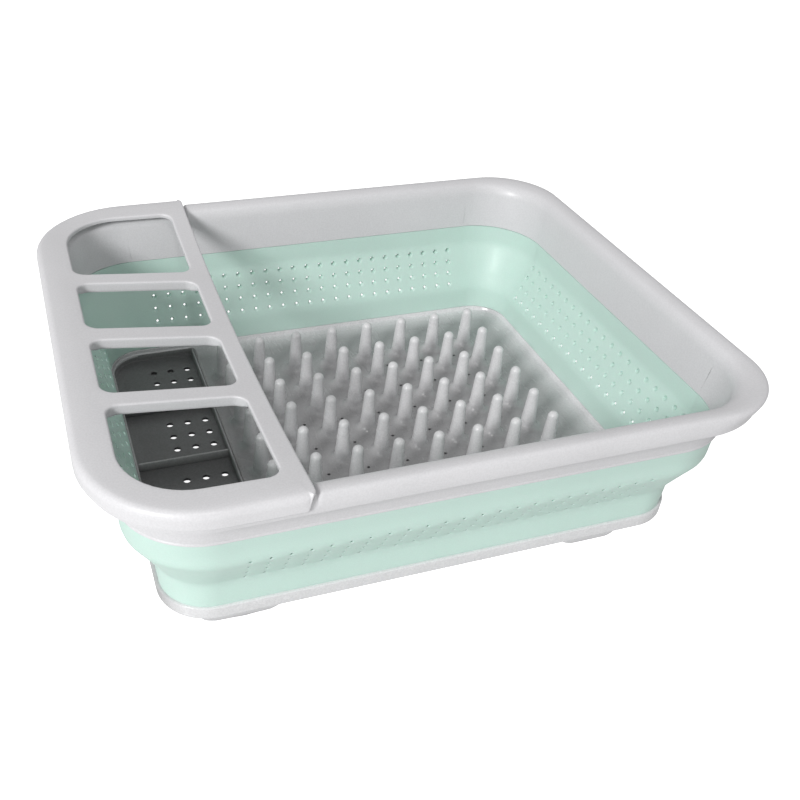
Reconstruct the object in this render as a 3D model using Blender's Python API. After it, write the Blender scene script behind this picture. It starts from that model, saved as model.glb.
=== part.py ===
"""Collapsible dish drying rack: a rigid base with pegs, a rubber wall that folds, a rigid rim
and a lift-off cutlery frame.

Units are metres and +Z is up. The rack stands on z = 0, X runs along its long side, the cutlery
side is at -X and Y runs from front to back. Every wall is placed by its inset, the distance in
plan from the outer edge of the rim.
"""
import math

import bmesh
import bpy

# Overall size
LENGTH = 0.365             # along X, cutlery frame's skirt to the opposite lip
DEPTH = 0.315              # along Y, over the cutlery frame's skirt
GAP = 0.0003               # between pieces that touch

# Heights, each set by itself and stacked from the ground up
FOOT_PAD_H = 0.0017        # feet under the cutlery well
WELL_FLOOR_WALL = 0.0026
WELL_DEPTH = 0.0049        # cutlery well's floor below the peg floor
FLOOR_EDGE_H = 0.0029      # raised edge round the peg floor
LOWER_BAND_H = 0.0148
FOLD_BAND_H = 0.0315
UPPER_BAND_H = 0.0127
COLLAR_H = 0.0315          # from the collar's foot to the flange's crest

# Rim: a flange with a turned-down lip, and a steep collar
LIP_DROP = 0.0109          # crest to the lip's lowest edge
LIP_BELLY_DROP = 0.0075    # crest to the lip's widest place
LIP_WALL = 0.0023
CREST_INSET = 0.0060
FLANGE_INNER_INSET = 0.0120
FLANGE_FALL = 0.0019       # from the crest to the flange's inner edge
COLLAR_INSET = 0.0165      # inner face of the collar at its foot
COLLAR_WALL = 0.0024
LIP_CORNER_R = 0.042       # in plan, from the lip to the collar's foot
LEFT_LIP_R = 0.056         # the lip's two corners on the cutlery side
LEFT_LIP_REACH = 0.0060    # how far in from the lip they stay rounder
FLOOR_CORNER_R = 0.023     # in plan, round the peg floor

# Rubber wall: three bands, the middle one turns over when the rim is pushed down
UPPER_TAPER = 0.0011       # inset gained down the upper band
FOLD_STEP = 0.0143         # inset gained down the fold band
LOWER_TAPER = 0.0013       # inset gained down the lower band
UPPER_WALL = 0.0024
LOWER_WALL = 0.0028

# Base tray: the rubber wall stands on its outer strip
STRIP_H = 0.0074
STRIP_INNER_STEP = 0.0003  # strip's inner edge, in from the rubber wall's inner face
STRIP_OUTER_STEP = 0.0014  # strip's outer face, out from the rubber wall's outer face
STRIP_WALL = 0.0025        # of the strip on the underside
FLOOR_WALL = 0.0026
PANEL_SINK = 0.0015        # how deep the peg rows sit in the tray's floor
PANEL_GROUND = 0.0009      # tray left under the peg rows

# Pegs: as many columns as the peg floor has room for
PEG_ROWS = 7
PEG_PITCH = 0.0257
PEG_START = 0.0125         # first column from the cutlery well's right side
PEG_END_ROOM = 0.0400      # least clear floor past the last column
PEG_H = 0.0292
PEG_TIP_R = 0.0033
PEG_FOOT_R = 0.0046
PEG_FLARE_R = 0.0080
PEG_FLARE_H = 0.0030
PEG_DOME_H = 0.0024
PEG_SIDES = 8
PANEL_MARGIN_LEFT = 0.0108
PANEL_MARGIN_RIGHT = 0.0130

# Cutlery well: the floor under the cutlery frame lies lower than the peg floor
WELL_LEFT_STEP = 0.0015    # well's left side, in from the floor's edge
WELL_END_STEP = 0.0015     # well's ends, in from the floor's edge
WELL_RIGHT_STEP = 0.0043   # well's right side, left of the cutlery frame's right edge
WELL_WALL = 0.0020
WELL_CORNER_STEP = 0.0015  # outer corners on the left are this much tighter than the floor's
WELL_TIGHT_R = 0.003       # outer corners on the right
RIB_WALL = 0.0013
RIB_H = 0.0060
RIB_PITCH = 0.0570         # between the cross ribs

# Drain holes
HOLE_R = 0.0021
HOLE_SIDES = 8
WELL_HOLE_PITCH_X = 0.0116
WELL_HOLE_PITCH_Y = 0.0130
WELL_HOLE_START = 0.0079   # first column of holes from the well's right side
END_GROUP_SHIFT = 0.00075  # of the end holes, out from the middle of their compartment

# Feet
FOOT_LENGTH = 0.040
FOOT_WIDTH = 0.022
FOOT_CORNER_R = 0.009
FOOT_BEVEL = 0.0006
LEFT_FOOT_START = 0.0272   # middle of a left foot from the well's right side
RIGHT_FOOT_INSET = 0.0900  # middle of a right foot from the rim's right edge
FOOT_END_STEP = 0.0032     # outer edge of a foot, in from the strip's outer face

# Cutlery frame: a dished plate with four openings, its skirt wraps the rim's lip
FRAME_WIDTH = 0.0990       # along X, from the skirt's outer face
SKIRT_WALL = 0.0016
SKIRT_GAP = 0.0004
SKIRT_DROP = 0.0070        # below the rim's crest
PLATE_WALL = 0.0020
PLATE_GAP = 0.0004
DISH_SAG = 0.0105          # at the middle of the plate's right edge
DISH_START = 0.0105        # the dish starts this far from the skirt's outer face
DISH_END = 0.0075          # and ends this far from the skirt's front and back faces
LEFT_BAR = 0.0192          # outer face of the skirt to the openings
RIGHT_BAR = 0.0108
END_BAR = 0.0190
MIDDLE_BAR = 0.0124
SIDE_BAR = 0.0115
SIDE_BAR_Y = 0.0618        # middle of the two outer bars
OPENING_CORNER_R = 0.0070
OPENING_END_R = 0.0330
COLLAR_DEPTH = 0.0060      # turned-down collar of each opening
COLLAR_BAND = 0.0014
EDGE_STEP = 0.0002         # skirt and collars stand this far back from the plate's edges

CORNER_STEPS = 6
DISH_CUTS = 20             # across the plate, so that it can bend
CUT_PAST = 0.0030          # cutters reach this far past what they cut

# Heights worked out from the sizes above
WELL_FOOT_Z = FOOT_PAD_H + GAP
WELL_FLOOR_Z = WELL_FOOT_Z + WELL_FLOOR_WALL
FLOOR_Z = WELL_FLOOR_Z + WELL_DEPTH
BASE_EDGE_Z = FLOOR_Z + FLOOR_EDGE_H
BASE_FOOT_Z = BASE_EDGE_Z - STRIP_H
WALL_FOOT_Z = BASE_EDGE_Z + GAP
FOLD_FOOT_Z = WALL_FOOT_Z + LOWER_BAND_H
FOLD_TOP_Z = FOLD_FOOT_Z + FOLD_BAND_H
WALL_TOP_Z = FOLD_TOP_Z + UPPER_BAND_H
COLLAR_FOOT_Z = WALL_TOP_Z + GAP
CREST_Z = COLLAR_FOOT_Z + COLLAR_H
LIP_Z = CREST_Z - LIP_DROP
LIP_BELLY_Z = CREST_Z - LIP_BELLY_DROP
SKIRT_FOOT_Z = CREST_Z - SKIRT_DROP
PLATE_FOOT_Z = CREST_Z + PLATE_GAP
PLATE_TOP_Z = PLATE_FOOT_Z + PLATE_WALL
PANEL_Z = FLOOR_Z - PANEL_SINK
RIB_TOP_Z = WELL_FLOOR_Z + RIB_H
PEG_TIP_Z = FLOOR_Z + PEG_H

# Insets worked out from the sizes above
UPPER_FOOT_INSET = COLLAR_INSET + UPPER_TAPER
FOLD_FOOT_INSET = UPPER_FOOT_INSET + FOLD_STEP
WALL_FOOT_INSET = FOLD_FOOT_INSET + LOWER_TAPER
FLOOR_INSET = WALL_FOOT_INSET + STRIP_INNER_STEP
BASE_INSET = WALL_FOOT_INSET - LOWER_WALL - STRIP_OUTER_STEP
SKIRT_INSET = BASE_INSET + STRIP_WALL

# Places worked out from the sizes above
PROUD = SKIRT_WALL + SKIRT_GAP
RIM_HALF_X = (LENGTH - PROUD) / 2
RIM_HALF_Y = DEPTH / 2 - PROUD
BASIN_X = PROUD / 2        # middle of the basin, with the whole rack centred on X = 0
FLOOR_RIGHT_X = BASIN_X + RIM_HALF_X - FLOOR_INSET
PLATE_RIGHT_X = FRAME_WIDTH - LENGTH / 2
OPENING_LEFT_X = LEFT_BAR - LENGTH / 2
OPENING_RIGHT_X = PLATE_RIGHT_X - RIGHT_BAR
OPENING_END_Y = DEPTH / 2 - END_BAR
DISH_LEFT_X = DISH_START - LENGTH / 2
DISH_HALF_Y = DEPTH / 2 - DISH_END
WELL_LEFT_X = BASIN_X - RIM_HALF_X + FLOOR_INSET + WELL_LEFT_STEP
WELL_RIGHT_X = PLATE_RIGHT_X - WELL_RIGHT_STEP
WELL_END_Y = RIM_HALF_Y - FLOOR_INSET - WELL_END_STEP
WELL_HOLE_RIGHT_X = WELL_RIGHT_X - WELL_HOLE_START
END_GROUP_Y = (RIB_PITCH + WELL_END_Y) / 2 + END_GROUP_SHIFT
LEFT_FOOT_X = WELL_RIGHT_X - LEFT_FOOT_START
RIGHT_FOOT_X = BASIN_X + RIM_HALF_X - RIGHT_FOOT_INSET
FOOT_END_Y = RIM_HALF_Y - BASE_INSET - FOOT_END_STEP
PEG_X0 = WELL_RIGHT_X + PEG_START
PEG_Y0 = PEG_PITCH * (PEG_ROWS - 1) / 2
PEG_COLUMNS = 1 + int((FLOOR_RIGHT_X - PEG_END_ROOM - PEG_X0) / PEG_PITCH)
HOLE_CUT_Z = (WELL_FOOT_Z - CUT_PAST, BASE_EDGE_Z + CUT_PAST)

PP_GREY = ("rigid_grey", (0.61, 0.62, 0.625, 1.0), 0.42)
MINT_RUBBER = ("mint_rubber", (0.47, 0.74, 0.66, 1.0), 0.5)
FOOT_RUBBER = ("grey_rubber", (0.6, 0.6, 0.6, 1.0), 0.6)


def clear_scene():
    for old in list(bpy.data.objects):
        bpy.data.objects.remove(old, do_unlink=True)


def new_collection(name):
    made = bpy.data.collections.new(name)
    bpy.context.scene.collection.children.link(made)
    return made


def material(name, finish):
    """A Principled material of its own for one piece."""
    slot, colour, roughness = finish
    made = bpy.data.materials.new(f"{name}_{slot}")
    made.use_nodes = True
    shader = made.node_tree.nodes["Principled BSDF"]
    shader.inputs["Base Color"].default_value = colour
    shader.inputs["Roughness"].default_value = roughness
    shader.inputs["Metallic"].default_value = 0.0
    return made


def finish_mesh(name, build, group, finish=None):
    """Puts a bmesh, its faces turned outwards, in a new object of the group."""
    bmesh.ops.recalc_face_normals(build, faces=build.faces)
    mesh = bpy.data.meshes.new(name)
    build.to_mesh(mesh)
    build.free()
    piece = bpy.data.objects.new(name, mesh)
    group.objects.link(piece)
    if finish is not None:
        mesh.materials.append(material(name, finish))
    return piece


def corner_radius(inset):
    """Radius in plan of a wall's corner: even down to the collar's foot, then falling to the floor's edge."""
    share = max(0.0, (inset - COLLAR_INSET) / (FLOOR_INSET - COLLAR_INSET))
    return LIP_CORNER_R + (FLOOR_CORNER_R - LIP_CORNER_R) * share


def left_corner_radius(inset):
    """The same on the cutlery side, where the lip is rounder and the collar is not."""
    share = max(0.0, 1 - inset / LEFT_LIP_REACH)
    return corner_radius(inset) + (LEFT_LIP_R - LIP_CORNER_R) * share


def arc(centre_x, centre_y, radius, start, steps=CORNER_STEPS):
    """A quarter turn anticlockwise from the start angle, in degrees."""
    turns = [math.radians(start + 90 * step / steps) for step in range(steps + 1)]
    return [(centre_x + radius * math.cos(turn), centre_y + radius * math.sin(turn)) for turn in turns]


def rounded_outline(x0, x1, y0, y1, radii):
    """Anticlockwise outline of a box, radii in the order back right, back left, front left, front right."""
    back_right, back_left, front_left, front_right = radii
    points = arc(x1 - back_right, y1 - back_right, back_right, 0)
    points += arc(x0 + back_left, y1 - back_left, back_left, 90)
    points += arc(x0 + front_left, y0 + front_left, front_left, 180)
    points += arc(x1 - front_right, y0 + front_right, front_right, 270)
    return points


def basin_outline(inset, radius=None):
    """The basin's outline in plan at an inset from the rim's outer edge."""
    right = corner_radius(inset) if radius is None else radius
    left = left_corner_radius(inset) if radius is None else radius
    half_x = RIM_HALF_X - inset
    half_y = RIM_HALF_Y - inset
    return rounded_outline(BASIN_X - half_x, BASIN_X + half_x, -half_y, half_y, [right, left, left, right])


def loft(name, rings, group, finish, capped=False):
    """Joins closed rings of equal count: end to end round a wall, or capped at both ends."""
    build = bmesh.new()
    rows = [[build.verts.new(point) for point in ring] for ring in rings]
    count = len(rows[0])
    last = len(rows) - 1 if capped else len(rows)
    for index in range(last):
        lower, upper = rows[index], rows[(index + 1) % len(rows)]
        for step in range(count):
            after = (step + 1) % count
            build.faces.new((lower[step], lower[after], upper[after], upper[step]))
    if capped:
        build.faces.new(rows[0])
        build.faces.new(rows[-1])
    return finish_mesh(name, build, group, finish)


def basin_wall(name, section, group, finish):
    """Carries a closed section of (inset, z) points round the basin."""
    rings = [[(x, y, z) for x, y in basin_outline(inset)] for inset, z in section]
    return loft(name, rings, group, finish)


def plate(name, outlines, z0, z1, group, finish=None):
    """A flat plate from a 2D curve: the first outline is the edge and the others are openings."""
    curve = bpy.data.curves.new(name, "CURVE")
    curve.dimensions = "2D"
    curve.fill_mode = "BOTH"
    curve.extrude = (z1 - z0) / 2
    for outline in outlines:
        spline = curve.splines.new("POLY")
        spline.points.add(len(outline) - 1)
        for point, (x, y) in zip(spline.points, outline):
            point.co = (x, y, 0.0, 1.0)
        spline.use_cyclic_u = True
    flat = bpy.data.objects.new(name + "_outline", curve)
    flat.location.z = (z0 + z1) / 2
    group.objects.link(flat)
    bpy.context.view_layer.update()
    mesh = bpy.data.meshes.new_from_object(flat.evaluated_get(bpy.context.evaluated_depsgraph_get()))
    mesh.transform(flat.matrix_world)
    bpy.data.objects.remove(flat, do_unlink=True)
    build = bmesh.new()
    build.from_mesh(mesh)
    bpy.data.meshes.remove(mesh)
    bmesh.ops.remove_doubles(build, verts=build.verts, dist=0.00001)
    return finish_mesh(name, build, group, finish)


def box_outline(x0, x1, y0, y1):
    return [(x0, y0), (x1, y0), (x1, y1), (x0, y1)]


def hole_cutter(name, places, group):
    """One cutter with an upright post at every drain hole."""
    build = bmesh.new()
    height = HOLE_CUT_Z[1] - HOLE_CUT_Z[0]
    for x, y in places:
        made = bmesh.ops.create_cone(build, cap_ends=True, segments=HOLE_SIDES, radius1=HOLE_R,
                                     radius2=HOLE_R, depth=height)
        bmesh.ops.translate(build, verts=made["verts"], vec=(x, y, sum(HOLE_CUT_Z) / 2))
    return finish_mesh(name, build, group)


def boolean(piece, tool, operation):
    """Cuts or joins a hidden tool with the EXACT solver."""
    tool.hide_render = True
    tool.display_type = "WIRE"
    step = piece.modifiers.new(f"{operation.lower()}_{tool.name}", "BOOLEAN")
    step.operation = operation
    step.solver = "EXACT"
    step.object = tool


def apply_modifiers(piece):
    """Replaces a piece's mesh with its evaluated one."""
    bpy.context.view_layer.update()
    graph = bpy.context.evaluated_depsgraph_get()
    made = bpy.data.meshes.new_from_object(piece.evaluated_get(graph))
    old = piece.data
    piece.modifiers.clear()
    piece.data = made
    bpy.data.meshes.remove(old)


def make_rim(group):
    """Flange, turned-down lip and collar as one section carried round."""
    foot_outer = COLLAR_INSET - COLLAR_WALL
    flange_z = CREST_Z - FLANGE_FALL
    collar_top_z = flange_z - 0.0030
    section = [
        (0.0006, LIP_Z),
        (0.0, LIP_BELLY_Z),
        (0.0012, CREST_Z - 0.0024),
        (0.0034, CREST_Z - 0.0004),
        (CREST_INSET, CREST_Z),
        (FLANGE_INNER_INSET, flange_z),
        (FLANGE_INNER_INSET + 0.0014, collar_top_z),
        (COLLAR_INSET, COLLAR_FOOT_Z),
        (foot_outer, COLLAR_FOOT_Z),
        (FLANGE_INNER_INSET + 0.0014 - COLLAR_WALL, collar_top_z - 0.0004),
        (FLANGE_INNER_INSET - COLLAR_WALL, flange_z - LIP_WALL + 0.0004),
        (CREST_INSET - 0.0012, CREST_Z - LIP_WALL),
        (LIP_WALL + 0.0008, CREST_Z - LIP_WALL - 0.0018),
        (LIP_WALL, LIP_BELLY_Z),
        (LIP_WALL + 0.0006, LIP_Z),
    ]
    return basin_wall("rim_frame", section, group, PP_GREY)


def make_walls(group):
    """The three rubber bands, each an even wall between an upper and a lower edge."""
    bands = {
        "wall_upper_band": (COLLAR_INSET, WALL_TOP_Z, UPPER_WALL,
                            UPPER_FOOT_INSET, FOLD_TOP_Z + GAP / 2, UPPER_WALL),
        "wall_fold_band": (UPPER_FOOT_INSET, FOLD_TOP_Z - GAP / 2, UPPER_WALL,
                           FOLD_FOOT_INSET, FOLD_FOOT_Z + GAP / 2, LOWER_WALL),
        "wall_lower_band": (FOLD_FOOT_INSET, FOLD_FOOT_Z - GAP / 2, LOWER_WALL,
                            WALL_FOOT_INSET, WALL_FOOT_Z, LOWER_WALL),
    }
    for name, (top, top_z, top_wall, foot, foot_z, foot_wall) in bands.items():
        section = [(top - top_wall, top_z), (top, top_z), (foot, foot_z), (foot - foot_wall, foot_z)]
        basin_wall(name, section, group, MINT_RUBBER)


def peg_places():
    """Peg positions, one list for each row from back to front."""
    columns = [PEG_X0 + PEG_PITCH * column for column in range(PEG_COLUMNS)]
    return [[(x, PEG_Y0 - PEG_PITCH * row) for x in columns] for row in range(PEG_ROWS)]


def peg_floor_holes():
    """One drain hole in the middle of every cell between four pegs."""
    places = peg_places()
    half = PEG_PITCH / 2
    return [(x + half, y - half) for row in places[:-1] for x, y in row[:-1]]


def well_box(wall):
    """Sides of the cutlery well, its pocket grown by a wall."""
    end = WELL_END_Y + wall
    return WELL_LEFT_X - wall, WELL_RIGHT_X + wall, -end, end


def well_outline(wall):
    left, right, front, back = well_box(wall)
    tight = WELL_TIGHT_R - WELL_WALL + wall
    wide = FLOOR_CORNER_R - WELL_CORNER_STEP - WELL_WALL + wall
    return rounded_outline(left, right, front, back, [tight, wide, wide, tight])


def well_holes():
    """Three by three drain holes in each of the four compartments."""
    middles = (END_GROUP_Y, RIB_PITCH / 2, -RIB_PITCH / 2, -END_GROUP_Y)
    return [(WELL_HOLE_RIGHT_X - WELL_HOLE_PITCH_X * column, middle + WELL_HOLE_PITCH_Y * row)
            for middle in middles for column in range(3) for row in (-1, 0, 1)]


def panel_box():
    """Sides of the sunk panel that holds the peg rows."""
    x0 = PEG_X0 - PANEL_MARGIN_LEFT
    x1 = PEG_X0 + PEG_PITCH * (PEG_COLUMNS - 1) + PANEL_MARGIN_RIGHT
    half_y = PEG_PITCH * PEG_ROWS / 2
    return x0, x1, -half_y, half_y


def make_tray(group, tools):
    """Outer strip and floor, with the sunk peg panel, the cutlery well and the drain holes."""
    tray = plate("base_tray", [basin_outline(BASE_INSET)], BASE_FOOT_Z, BASE_EDGE_Z, group, PP_GREY)
    well = plate("tool_well_body", [well_outline(WELL_WALL)],
                 WELL_FOOT_Z, FLOOR_Z - FLOOR_WALL / 2, tools)
    floor = plate("tool_floor_pocket", [basin_outline(FLOOR_INSET)], FLOOR_Z, BASE_EDGE_Z + CUT_PAST, tools)
    x0, x1, y0, y1 = panel_box()
    panel = plate("tool_panel_pocket", [box_outline(x0, x1, y0, y1)], PANEL_Z, BASE_EDGE_Z + CUT_PAST * 1.5, tools)
    pocket = plate("tool_well_pocket", [well_outline(0.0)],
                   WELL_FLOOR_Z, BASE_EDGE_Z + CUT_PAST * 2, tools)
    skirt_half_x = RIM_HALF_X - SKIRT_INSET
    skirt_half_y = RIM_HALF_Y - SKIRT_INSET
    under_x0 = well_box(WELL_WALL)[1] + 0.001
    under = plate("tool_underside", [rounded_outline(under_x0, BASIN_X + skirt_half_x, -skirt_half_y,
                                                     skirt_half_y, [0.018, 0.004, 0.004, 0.018])],
                  BASE_FOOT_Z - CUT_PAST, PANEL_Z - PANEL_GROUND, tools)
    holes = hole_cutter("tool_drain_holes", peg_floor_holes() + well_holes(), tools)
    boolean(tray, well, "UNION")
    for tool in (under, floor, panel, pocket, holes):
        boolean(tray, tool, "DIFFERENCE")
    return tray


def peg_rings(x, y):
    """Circles up one tapered peg with a flared foot and a rounded tip."""
    profile = [
        (PEG_FLARE_R, FLOOR_Z - PANEL_SINK / 2),
        (PEG_FLARE_R, FLOOR_Z + 0.0002),
        (PEG_FOOT_R, FLOOR_Z + PEG_FLARE_H),
        (PEG_TIP_R, PEG_TIP_Z - PEG_DOME_H),
        (PEG_TIP_R * 0.55, PEG_TIP_Z),
    ]
    turns = [2 * math.pi * side / PEG_SIDES for side in range(PEG_SIDES)]
    return [[(x + r * math.cos(turn), y + r * math.sin(turn), z) for turn in turns] for r, z in profile]


def make_peg_rows(group, tools):
    """Each row of pegs stands on its own strip of the floor."""
    x0, x1, _, _ = panel_box()
    for number, places in enumerate(peg_places(), start=1):
        y = places[0][1]
        half = PEG_PITCH / 2 - GAP / 2
        strip = plate(f"peg_row_{number}", [box_outline(x0 + GAP, x1 - GAP, y - half, y + half)],
                      PANEL_Z + GAP, FLOOR_Z, group, PP_GREY)
        pegs = bmesh.new()
        for place in places:
            peg = loft("peg", peg_rings(*place), tools, None, capped=True)
            pegs.from_mesh(peg.data)
            bpy.data.objects.remove(peg, do_unlink=True)
        boolean(strip, finish_mesh(f"tool_pegs_{number}", pegs, tools), "UNION")
        near = [(hx, hy) for hx, hy in peg_floor_holes() if abs(hy - y) < PEG_PITCH * 0.6]
        boolean(strip, hole_cutter(f"tool_row_holes_{number}", near, tools), "DIFFERENCE")


def make_ribs(group):
    """The low dividers of the cutlery well: one along it and three across."""
    left, right, front, back = well_box(0.0)
    reach = 2 * GAP
    long_side = box_outline(right - GAP - RIB_WALL, right - GAP, front + WELL_TIGHT_R, back - WELL_TIGHT_R)
    plate("cutlery_rib_long", [long_side], WELL_FLOOR_Z + GAP, RIB_TOP_Z, group, PP_GREY)
    cross_end = right - 2 * GAP - RIB_WALL
    for name, y in (("back", RIB_PITCH), ("middle", 0.0), ("front", -RIB_PITCH)):
        outline = box_outline(left + reach, cross_end, y - RIB_WALL / 2, y + RIB_WALL / 2)
        plate(f"cutlery_rib_{name}", [outline], WELL_FLOOR_Z + GAP, RIB_TOP_Z, group, PP_GREY)


def foot_outline(x, y, shrink):
    half_x = FOOT_LENGTH / 2 - shrink
    half_y = FOOT_WIDTH / 2 - shrink
    return rounded_outline(x - half_x, x + half_x, y - half_y, y + half_y, [FOOT_CORNER_R - shrink] * 4)


def make_feet(group):
    """Four low pads: two under the cutlery well and two taller ones under the peg floor."""
    y = FOOT_END_Y - FOOT_WIDTH / 2
    tops = {"left": WELL_FOOT_Z - GAP, "right": PANEL_Z - PANEL_GROUND - GAP}
    places = {"left": LEFT_FOOT_X, "right": RIGHT_FOOT_X}
    for side in ("left", "right"):
        for end, middle_y in (("front", -y), ("back", y)):
            levels = ((FOOT_BEVEL, 0.0), (0.0, FOOT_BEVEL), (0.0, tops[side]))
            rings = [[(px, py, z) for px, py in foot_outline(places[side], middle_y, shrink)]
                     for shrink, z in levels]
            loft(f"foot_{end}_{side}", rings, group, FOOT_RUBBER, capped=True)


def frame_outline(grow, cut_back=0.0):
    """The cutlery frame's outer edge, grown from the rim's edge and cut off square at its right end."""
    half_y = RIM_HALF_Y + grow
    x0 = BASIN_X - RIM_HALF_X - grow
    radius = LEFT_LIP_R + grow
    right = PLATE_RIGHT_X - cut_back
    left_side = arc(x0 + radius, half_y - radius, radius, 90) + arc(x0 + radius, radius - half_y, radius, 180)
    return [(right, half_y)] + left_side + [(right, -half_y)]


def opening_spans():
    """Front and back edge of the four openings, from back to front."""
    inner = MIDDLE_BAR / 2
    outer = SIDE_BAR_Y - SIDE_BAR / 2
    end = SIDE_BAR_Y + SIDE_BAR / 2
    return [(end, OPENING_END_Y), (inner, outer), (-outer, -inner), (-OPENING_END_Y, -end)]


def opening_outline(number, grow):
    """One opening's outline; the two end openings follow the rim's big corner on the left."""
    y0, y1 = opening_spans()[number]
    small = OPENING_CORNER_R + grow
    big = OPENING_END_R + grow
    radii = [small, big if number == 0 else small, big if number == 3 else small, small]
    return rounded_outline(OPENING_LEFT_X - grow, OPENING_RIGHT_X + grow, y0 - grow, y1 + grow, radii)


def dish(x, y):
    """How far the plate lies below its flat edge: it grows evenly to the right, and as a parabola to the middle."""
    across = min(max((x - DISH_LEFT_X) / (PLATE_RIGHT_X - DISH_LEFT_X), 0.0), 1.0)
    along = max(0.0, 1.0 - (y / DISH_HALF_Y) ** 2)
    return DISH_SAG * across * along


def cut_across(build, point, normal):
    """Divides every face that a plane crosses, leaving the body whole."""
    whole = list(build.verts) + list(build.edges) + list(build.faces)
    bmesh.ops.bisect_plane(build, geom=whole, dist=0.00001, plane_co=point, plane_no=normal)


def bend_to_dish(piece):
    """Cuts the flat piece across in even steps, then lowers every point by the dish."""
    build = bmesh.new()
    build.from_mesh(piece.data)
    bmesh.ops.remove_doubles(build, verts=build.verts, dist=0.00001)
    cut_across(build, (DISH_LEFT_X, 0.0, 0.0), (1.0, 0.0, 0.0))
    for step in range(DISH_CUTS + 1):
        y = DISH_HALF_Y * (2 * step / DISH_CUTS - 1)
        cut_across(build, (0.0, y, 0.0), (0.0, 1.0, 0.0))
    for vertex in build.verts:
        vertex.co.z -= dish(vertex.co.x, vertex.co.y)
    bmesh.ops.triangulate(build, faces=build.faces)
    build.to_mesh(piece.data)
    build.free()


def make_cutlery_frame(group, tools):
    """A dished plate on the rim, with a skirt outside and a turned-down collar round each opening."""
    openings = [opening_outline(number, 0.0) for number in range(4)]
    frame = plate("cutlery_frame", [frame_outline(PROUD)] + openings, PLATE_FOOT_Z, PLATE_TOP_Z, group, PP_GREY)
    join_z = PLATE_TOP_Z - PLATE_WALL / 2
    skirt = frame_outline(PROUD - EDGE_STEP, EDGE_STEP) + frame_outline(SKIRT_GAP, EDGE_STEP)[::-1]
    boolean(frame, plate("tool_frame_skirt", [skirt], SKIRT_FOOT_Z, join_z, tools), "UNION")
    for number in range(4):
        band = [opening_outline(number, grow) for grow in (EDGE_STEP + COLLAR_BAND, EDGE_STEP)]
        collar = plate(f"tool_opening_collar_{number + 1}", band, PLATE_TOP_Z - COLLAR_DEPTH, join_z, tools)
        boolean(frame, collar, "UNION")
    apply_modifiers(frame)
    bend_to_dish(frame)


def main():
    clear_scene()
    rack = new_collection("dish_drying_rack")
    tools = new_collection("cutters")
    make_tray(rack, tools)
    make_peg_rows(rack, tools)
    make_ribs(rack)
    make_feet(rack)
    make_walls(rack)
    make_rim(rack)
    make_cutlery_frame(rack, tools)


main()
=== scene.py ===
"""Looks of the collapsible dish drying rack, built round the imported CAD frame.

Every surface is computed with numpy as a function of two parameters, or as a profile carried along
a path. Units are metres, +Z is up, the cutlery side is at -X and Y runs from front to back.
"""

import math

import bmesh
import bpy
import numpy as np
from mathutils import Matrix, Vector


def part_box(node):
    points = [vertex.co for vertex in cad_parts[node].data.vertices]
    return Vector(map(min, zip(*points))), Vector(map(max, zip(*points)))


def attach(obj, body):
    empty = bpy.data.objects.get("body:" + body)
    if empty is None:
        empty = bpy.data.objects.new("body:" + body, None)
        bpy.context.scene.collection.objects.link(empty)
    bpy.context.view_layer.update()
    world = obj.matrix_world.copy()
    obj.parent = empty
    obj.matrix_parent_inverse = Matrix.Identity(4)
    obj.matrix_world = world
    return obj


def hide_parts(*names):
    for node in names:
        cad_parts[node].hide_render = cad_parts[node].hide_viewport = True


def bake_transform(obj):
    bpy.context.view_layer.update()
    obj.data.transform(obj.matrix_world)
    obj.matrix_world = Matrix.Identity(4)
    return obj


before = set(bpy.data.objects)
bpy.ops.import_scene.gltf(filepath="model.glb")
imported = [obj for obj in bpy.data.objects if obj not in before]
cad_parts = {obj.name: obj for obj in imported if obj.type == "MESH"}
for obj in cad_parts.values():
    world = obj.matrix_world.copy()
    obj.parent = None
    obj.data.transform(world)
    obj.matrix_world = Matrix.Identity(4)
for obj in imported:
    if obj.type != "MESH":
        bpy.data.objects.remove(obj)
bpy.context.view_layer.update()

MM = 0.001

# ---------------------------------------------------------------- sizes read from the frame
rim_low, rim_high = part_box("rim_frame")
cutlery_low, cutlery_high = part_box("cutlery_frame")
_, tray_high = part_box("base_tray")
_, upper_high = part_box("wall_upper_band")
fold_low, fold_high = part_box("wall_fold_band")
lower_low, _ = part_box("wall_lower_band")
first_row_low, first_row_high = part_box("peg_row_1")
last_row_low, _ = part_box("peg_row_7")

BASIN_X = (rim_low.x + rim_high.x) / 2
RIM_HALF_X = (rim_high.x - rim_low.x) / 2
RIM_HALF_Y = (rim_high.y - rim_low.y) / 2
CREST_Z = rim_high.z
COLLAR_FOOT_Z = rim_low.z
WALL_TOP_Z = upper_high.z
FOLD_TOP_Z = fold_high.z
FOLD_FOOT_Z = fold_low.z
WALL_FOOT_Z = lower_low.z
BASE_EDGE_Z = tray_high.z
PLATE_TOP_Z = cutlery_high.z
FRAME_LEFT_X = cutlery_low.x
FRAME_RIGHT_X = cutlery_high.x
FRAME_HALF_Y = cutlery_high.y
PEG_TIP_Z = first_row_high.z
RIBS = ("cutlery_rib_back", "cutlery_rib_front", "cutlery_rib_middle", "cutlery_rib_long")
PEG_ROWS = 7
PEG_COLUMNS = 8
PEG_PITCH = (first_row_high.y - last_row_low.y) / PEG_ROWS
PEG_ROW_END = 0.0105       # from a row's end to the axis of its first peg
PEG_X0 = first_row_low.x + PEG_ROW_END

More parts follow.
